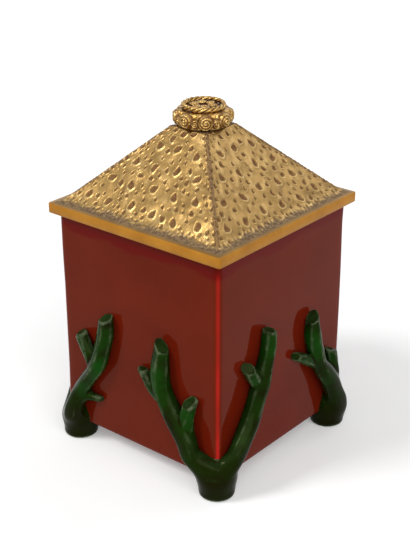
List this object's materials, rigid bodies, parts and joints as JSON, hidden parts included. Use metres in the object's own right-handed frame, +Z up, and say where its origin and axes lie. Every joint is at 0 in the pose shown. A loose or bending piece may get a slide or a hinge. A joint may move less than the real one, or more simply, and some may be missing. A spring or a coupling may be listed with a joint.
{
  "type": "covered box",
  "caption": "Square covered box with a hollow pyramid lid that lifts off by its rosette knob, standing on branch-shaped legs that climb its corners.",
  "frame": {"origin": "on the ground, under the middle of the box", "axes": "+Z up; -Y towards the front, the face seen on the left of the picture; +X to the right, the face seen on the right"},
  "size_m": [0.1441, 0.144, 0.2123],
  "materials": {
    "red_glaze": "mirror-smooth red gloss glaze",
    "green_glaze": "deep green gloss glaze, paler where it breaks over edges",
    "gilt_glaze": "burnished gilding with brown pits, ochre rim",
    "gilt_brass": "gilt casting with dark recesses",
    "steel": "plain"
  },
  "bodies": {
    "box": {"box_body": "red_glaze", "leg_front_left": "green_glaze", "leg_front_right": "green_glaze", "leg_back_left": "green_glaze", "leg_back_right": "green_glaze"},
    "lid": {"lid": "gilt_glaze", "knob_rosette": "gilt_brass", "knob_rope_ring": "gilt_brass", "knob_centre": "gilt_brass", "knob_washer": "steel", "knob_screw": "steel"}
  },
  "joints": [
    {"name": "lid_lift", "type": "slide", "parent": "box", "child": "lid", "axis": [0, 0, 1], "range_m": [0, 0.12]}
  ]
}
